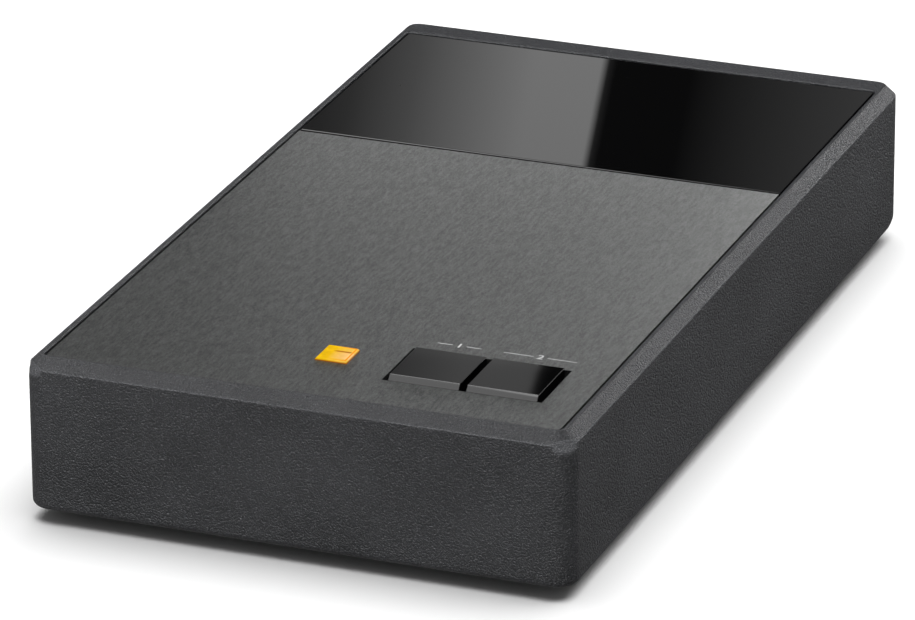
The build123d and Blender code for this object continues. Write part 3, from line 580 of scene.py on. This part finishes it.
def make_button(label):
    """A push button whose crown slopes down to the plate at the front."""
    node = label + "_button"
    low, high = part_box(node)
    lip, slope, crown_height, edge = 0.7 * MM, 1.0 * MM, 1.6 * MM, 0.11 * MM
    front_y = low.y - lip
    crown_root = high.z - crown_height
    skirt = copy_of(node, node + "_cap")
    bpy.ops.object.mode_set(mode="EDIT")
    bpy.ops.mesh.select_all(action="SELECT")
    bpy.ops.mesh.bisect(plane_co=(0, 0, crown_root), plane_no=(0, 0, 1), use_fill=True, clear_outer=True)
    bpy.ops.object.mode_set(mode="OBJECT")
    bpy.ops.object.select_all(action="DESELECT")
    bpy.ops.mesh.primitive_cube_add(
        size=1,
        location=((low.x + high.x) / 2, (front_y + high.y) / 2, high.z - crown_height / 2),
        scale=(high.x - low.x, high.y - front_y, crown_height),
    )
    bpy.ops.object.transform_apply(location=True, rotation=True, scale=True)
    crown = bpy.context.object
    select_sharp(crown, lambda at: at.y < front_y + slope and at.z > high.z - slope)
    bpy.ops.object.mode_set(mode="EDIT")
    bpy.ops.mesh.bevel(offset=slope, segments=1, affect="EDGES")
    bpy.ops.object.mode_set(mode="OBJECT")
    soften(crown, lambda at: at.z > crown_root + slope / 4, edge)
    make_only(skirt)
    crown.select_set(True)
    bpy.ops.object.join()
    flatten_shading(skirt)
    finish_piece(skirt, materials["button_black"], node, "gloss_black", node)


def make_springs():
    """The two return springs, each with a mesh of its own; in the real part they shorten as their
    buttons go down.
    """
    for label in button_labels:
        node = label + "_spring"
        coil = copy_of(node, node + "_coil")
        finish_piece(coil, materials["steel"], "case", "steel", node)
        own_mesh(coil)


def make_panel():
    """The gloss panel, its edges ground finer, the front one broken widest."""
    panel = copy_of("gloss_panel", "gloss_inlay")
    low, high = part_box("gloss_panel")
    middle = (low + high) / 2
    broken = 0.25 * MM               # the edge as packed
    front_break, side_break, edge = 0.15 * MM, 0.07 * MM, 0.025 * MM
    for corner in panel.data.vertices:
        at = corner.co
        on_front = at.y < low.y + 1.5 * broken
        if at.z > high.z - broken / 2:
            at.x = middle.x + (at.x - middle.x) * (high.x - side_break) / (high.x - broken)
            if on_front:
                at.y = low.y + front_break
            else:
                at.y += (broken - side_break) * (at.y - middle.y) / (high.y - middle.y)
        elif at.z > high.z - 1.5 * broken:
            at.z = high.z - (front_break if on_front else side_break)
    soften(panel, lambda at: at.z > high.z - 2 * broken, edge)
    flatten_shading(panel)
    finish_piece(panel, materials["gloss_black"], "case", "gloss_black", "gloss_panel")


def make_lens():
    """The lamp lens, its top sunk inside a rim."""
    rim, edge = 0.4 * MM, 0.07 * MM
    lens = copy_of("lamp_lens", "lamp_window")
    choose_faces(lens, lambda at, normal: normal.z > 0.9 and at.z > lens_high.z - lens_sink)
    bpy.ops.mesh.inset(thickness=rim)
    bpy.ops.transform.translate(value=(0, 0, -lens_sink))
    bpy.ops.object.mode_set(mode="OBJECT")
    soften(lens, lambda at: at.z > plate_top, edge)
    flatten_shading(lens)
    finish_piece(lens, materials["lamp_amber"], "case", "lamp_amber", "lamp_lens")


# ================================================================ printed marks
def printed_mark(name, digit, centre, half_span):
    """A plain digit between two thin rules, printed on the plate."""
    height, line, gap, ink = 1.7 * MM, 0.22 * MM, 0.45 * MM, 0.012 * MM
    digit_share = 0.7                # of the text size, how high a digit comes out
    fatten = 0.05 * MM
    bpy.ops.object.select_all(action="DESELECT")
    bpy.ops.object.text_add(location=centre)
    mark = bpy.context.object
    mark.data.body = digit
    mark.data.align_x = "CENTER"
    mark.data.align_y = "CENTER"
    mark.data.size = height / digit_share
    mark.data.extrude = ink
    mark.data.offset = fatten
    bpy.ops.object.convert(target="MESH")
    pieces = [bpy.context.object]
    rule = half_span - height / 2 - gap
    for side in (-1, 1):
        at = Vector(centre) + Vector((side * (half_span - rule / 2), 0, 0))
        bpy.ops.mesh.primitive_cube_add(size=1, location=at, scale=(rule, line, 2 * ink))
        pieces.append(bpy.context.object)
    bpy.ops.object.select_all(action="DESELECT")
    for piece in pieces:
        piece.select_set(True)
    bpy.context.view_layer.objects.active = pieces[0]
    bpy.ops.object.join()
    bpy.ops.object.transform_apply(location=True, rotation=True, scale=True)
    mark = bpy.context.object
    mark.name = name
    finish_piece(mark, materials["print_grey"], "case", None)


def make_marks():
    """One mark behind each button, a little off the middle of its cap."""
    behind = 4.75 * MM
    for name, digit, node, shift, half_span in (
        ("mark_one", "1", "mono_button", -0.3 * MM, 4.1 * MM),
        ("mark_two", "2", "filter_button", 0.35 * MM, 6.8 * MM),
    ):
        low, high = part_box(node)
        place = ((low.x + high.x) / 2 + shift, high.y + behind, plate_top)
        printed_mark(name, digit, place, half_span)


# ================================================================ stage
def emission_card(name, centre, across, up, width, height, material):
    """A studio card that shows in reflections only."""
    normal = across.cross(up)
    turn = Matrix((across, up, normal)).transposed().to_4x4()
    bpy.ops.mesh.primitive_plane_add(size=1)
    card = bpy.context.object
    card.name = name
    card.matrix_world = Matrix.Translation(centre) @ turn @ Matrix.Diagonal((width, height, 1, 1))
    card.data.materials.append(material)
    card.visible_camera = False
    card.visible_diffuse = False
    card.visible_shadow = False
    return card


def set_stops(ramp, stops):
    """Give a ramp its stops: a list of (place, strength)."""
    elements = ramp.color_ramp.elements
    while len(elements) < len(stops):
        elements.new(0.5)
    for element, (place, strength) in zip(elements, stops):
        element.position = place
        element.color = (strength, strength, strength, 1)


def card_glow(name, stops, slant=0.0, top=1.0):
    """Light that changes across the card: a list of (place, strength), 0 to 1 across.

    Slant leans the steps over, and top is the light's factor above the middle.
    """
    top_from, top_full = 0.03, 0.13
    material = bpy.data.materials.new(name)
    material.use_nodes = True
    tree = material.node_tree
    tree.nodes.clear()
    axes = add(tree, "ShaderNodeSeparateXYZ", {0: object_vector(tree)})
    across = calc(tree, "ADD", axes.outputs["X"], calc(tree, "MULTIPLY", axes.outputs["Y"], slant))
    ramp = add(tree, "ShaderNodeValToRGB", {0: calc(tree, "ADD", across, 0.5)})
    set_stops(ramp, stops)
    share = spread(tree, axes.outputs["Y"], top_from, top_full, 1.0, top)
    glow = add(tree, "ShaderNodeEmission", {"Color": ramp.outputs["Color"], "Strength": share})
    output = tree.nodes.new("ShaderNodeOutputMaterial")
    tree.links.new(glow.outputs[0], output.inputs["Surface"])
    return material


def make_floor():
    """A plain pale floor, seen only from above."""
    floor_size = 12
    bpy.ops.mesh.primitive_plane_add(size=floor_size)
    floor = bpy.context.object
    floor.name = "studio_floor"
    material = bpy.data.materials.new("studio_floor")
    material.use_nodes = True
    tree = material.node_tree
    shader = tree.nodes["Principled BSDF"]
    shader.inputs["Base Color"].default_value = (0.9, 0.9, 0.9, 1)
    shader.inputs["Roughness"].default_value = 0.9
    shader.inputs["Specular IOR Level"].default_value = 0.0
    below = tree.nodes.new("ShaderNodeNewGeometry")
    clear = tree.nodes.new("ShaderNodeBsdfTransparent")
    mix = add(tree, "ShaderNodeMixShader", {0: below.outputs["Backfacing"]})
    tree.links.new(shader.outputs[0], mix.inputs[1])
    tree.links.new(clear.outputs[0], mix.inputs[2])
    tree.links.new(mix.outputs[0], tree.nodes["Material Output"].inputs["Surface"])
    floor.data.materials.append(material)
    floor.visible_glossy = False
    return floor


def spare_floor(light, floor):
    """Keep a light's rays off the floor, as a flag in a studio does."""
    flagged = bpy.data.collections.new(light.name + "_flag")
    flagged.objects.link(floor)
    light.light_linking.receiver_collection = flagged
    flagged.collection_objects[0].light_linking.link_state = "EXCLUDE"


def toward(azimuth, elevation):
    """A direction by its angle round from the front, toward the right, and its rise."""
    around, rise = radians(azimuth), radians(elevation)
    return Vector((sin(around) * cos(rise), -cos(around) * cos(rise), sin(rise)))


def softbox(name, azimuth, elevation, distance, width, height, power):
    """A soft light aimed at the middle of the part from a direction."""
    data = bpy.data.lights.new(name, "AREA")
    data.shape = "RECTANGLE"
    data.size = width
    data.size_y = height
    data.energy = power
    light = bpy.data.objects.new(name, data)
    bpy.context.scene.collection.objects.link(light)
    direction = toward(azimuth, elevation).normalized()
    light.location = direction * distance
    light.rotation_mode = "QUATERNION"
    light.rotation_quaternion = direction.to_track_quat("Z", "Y")
    light.visible_camera = False
    return light


# How much of the surroundings is left at each angle round, from the front toward the right.
flag_stops = [
    (-180, 1.0),
    (-15, 1.0),
    (-4, 0.4),
    (10, 0.5),
    (24, 1.0),
    (44, 1.0),
    (66, 0.4),
    (88, 0.1),
    (130, 0.1),
    (150, 0.35),
    (172, 0.5),
    (180, 1.0),
]


def make_world(sky, ground, fill):
    """What reflections see: a pale sky over a dimmer ground, with two darker sides.

    Fill is the even light that falls on everything.
    """
    ground_rise, sky_rise = -0.05, 0.12
    world = bpy.data.worlds.new("studio")
    world.use_nodes = True
    tree = world.node_tree
    direction = tree.nodes.new("ShaderNodeTexCoord").outputs["Generated"]
    axes = add(tree, "ShaderNodeSeparateXYZ", {0: direction})
    height = spread(tree, axes.outputs["Z"], ground_rise, sky_rise, ground, sky)
    ahead = calc(tree, "MULTIPLY", axes.outputs["Y"], -1.0)
    turn = calc(tree, "DIVIDE", calc(tree, "ARCTAN2", axes.outputs["X"], ahead), 2 * pi)
    flags = add(tree, "ShaderNodeValToRGB", {0: calc(tree, "ADD", turn, 0.5)})
    set_stops(flags, [(azimuth / 360 + 0.5, share) for azimuth, share in flag_stops])
    seen = calc(tree, "MULTIPLY", height, flags.outputs["Color"])
    glossy = tree.nodes.new("ShaderNodeLightPath").outputs["Is Glossy Ray"]
    strength = add(tree, "ShaderNodeMix", {"Factor": glossy, "A": fill, "B": seen}, data_type="FLOAT")
    tree.links.new(strength.outputs["Result"], tree.nodes["Background"].inputs["Strength"])
    tree.nodes["Background"].inputs["Color"].default_value = (1, 1, 1, 1)
    bpy.context.scene.world = world


# The camera stands to the front right, a little above, with a long lens.
camera_azimuth = radians(21.131)
camera_elevation = radians(22.361)
camera_roll = radians(-0.332)
camera_distance = 1303.48 * MM
camera_target = Vector((-12.613, 14.835, 2.6)) * MM
focal_pixels = 6954.6
frame_pixels = 915
sensor_width = 36.0              # in millimetres, as the lens is


def make_camera():
    """The camera, by its angles and its distance from what it looks at."""
    data = bpy.data.cameras.new("camera")
    data.sensor_width = sensor_width
    data.lens = focal_pixels / frame_pixels * data.sensor_width
    data.clip_start = 0.05
    data.clip_end = 50
    camera = bpy.data.objects.new("camera", data)
    bpy.context.scene.collection.objects.link(camera)
    level = cos(camera_elevation)
    back = Vector((sin(camera_azimuth) * level, -cos(camera_azimuth) * level, sin(camera_elevation)))
    right = Vector((cos(camera_azimuth), sin(camera_azimuth), 0))
    up = back.cross(right)
    rolled_right = right * cos(camera_roll) + up * sin(camera_roll)
    rolled_up = up * cos(camera_roll) - right * sin(camera_roll)
    turn = Matrix((rolled_right, rolled_up, back)).transposed().to_4x4()
    camera.matrix_world = Matrix.Translation(camera_target + back * camera_distance) @ turn
    bpy.context.scene.camera = camera


def mirror_card():
    """The card that the gloss panel mirrors in the camera's view, behind the part on the left."""
    distance, width, height = 1500 * MM, 800 * MM, 420 * MM
    lean = 10 / 48                   # of the step from bright to dark
    level = cos(camera_elevation)
    away = Vector((-sin(camera_azimuth) * level, cos(camera_azimuth) * level, sin(camera_elevation)))
    across = Vector((cos(camera_azimuth), sin(camera_azimuth), 0))
    up = across.cross(away)
    middle = Vector((0, 60 * MM, panel_top))
    stops = [
        (0.0, 0.09),
        (0.384, 0.10),
        (0.40, 0.15),
        (0.43, 0.35),
        (0.461, 0.66),
        (0.49, 0.96),
        (0.5245, 0.98),
        (0.5275, 0.012),
        (0.57, 0.012),
        (0.65, 0.18),
        (0.8, 0.5),
        (1.0, 0.65),
    ]
    glow = card_glow("mirror_card", stops, slant=lean * height / width, top=0.4)
    emission_card("mirror_card", middle + away * distance, across, up, width, height, glow)


def glow_card(name, centre, aim, width, height, strength, top=1.0):
    """A card that shows in reflections only, its face toward a point of the part."""
    away = (Vector(centre) - Vector(aim)).normalized()
    across = Vector((0, 0, 1)).cross(away).normalized()
    up = away.cross(across)
    glow = card_glow(name, [(0.0, strength), (1.0, strength)], top=top)
    return emission_card(name, Vector(centre), across, up, width, height, glow)


def ring_card(name, azimuth, elevation, width, height, strength, top=1.0):
    """A glow card at one distance from the part, facing its middle from a direction."""
    distance = 1.2
    centre = toward(azimuth, elevation) * distance
    return glow_card(name, centre, (0, 0, 0), width, height, strength, top)


def keep_for(card, *pieces):
    """Let a card show in these pieces alone, as blinds between it and the rest do."""
    seen_in = bpy.data.collections.new(card.name + "_pieces")
    for piece in pieces:
        seen_in.objects.link(piece)
    card.light_linking.receiver_collection = seen_in


def make_softboxes(floor):
    """A broad key from above the rear, and two small boxes that spare the floor."""
    key = softbox("key_softbox", 152, 82, distance=1.2, width=1.5, height=1.5, power=28)
    key.visible_glossy = False
    rear = softbox("rear_right_softbox", 136, 8, distance=0.8, width=0.5, height=0.25, power=1.15)
    front = softbox("front_left_softbox", -28, 24, distance=1.2, width=0.6, height=0.5, power=3.6)
    for light in (rear, front):
        spare_floor(light, floor)


def make_cards():
    """Cards that light up the edges of the caps and the case, its chamfer and the brushed plate."""
    shell = bpy.data.objects["case_shell"]
    caps = [bpy.data.objects[label + "_button_cap"] for label in button_labels]
    plate = frame["nodes"]["top_plate"]
    ring_card("seam_card", -40, 59, width=0.29, height=0.16, strength=2.6, top=2.4)
    edge = ring_card("button_edge_card", -98, 67, width=0.45, height=0.3, strength=9.0)
    crease = ring_card("crease_card", -22, 20, width=0.5, height=0.3, strength=8.0)
    corner = ring_card("corner_card", 44, 18, width=0.3, height=0.2, strength=20.0)
    chamfer = glow_card(
        "chamfer_card",
        centre=(0.17, 0.36, 0.135),
        aim=(0.05, 0.06, 0.03),
        width=0.12,
        height=0.1,
        strength=9.0,
    )
    broad = glow_card(
        "plate_card",
        centre=(0.105, 0.42, 0.2),
        aim=(0, -0.03, 0.03),
        width=0.3,
        height=0.18,
        strength=13.0,
    )
    low = glow_card(
        "low_card",
        centre=(-0.05, 0.25, 0.062),
        aim=(0, 0, 0.03),
        width=0.2,
        height=0.05,
        strength=2.7,
    )
    keep_for(edge, shell, *caps)
    for card in (crease, corner, chamfer):
        keep_for(card, shell)
    for card in (broad, low):
        keep_for(card, plate)


def make_stage():
    """The floor, the lights, the cards and the camera."""
    floor = make_floor()
    make_world(sky=0.5, ground=0.18, fill=0.19)
    mirror_card()
    make_softboxes(floor)
    make_cards()
    make_camera()
    bpy.context.scene.view_settings.view_transform = "Standard"


paint_nodes()
make_case_shell()
for button_label in button_labels:
    make_button(button_label)
make_springs()
make_panel()
make_lens()
make_marks()
make_stage()
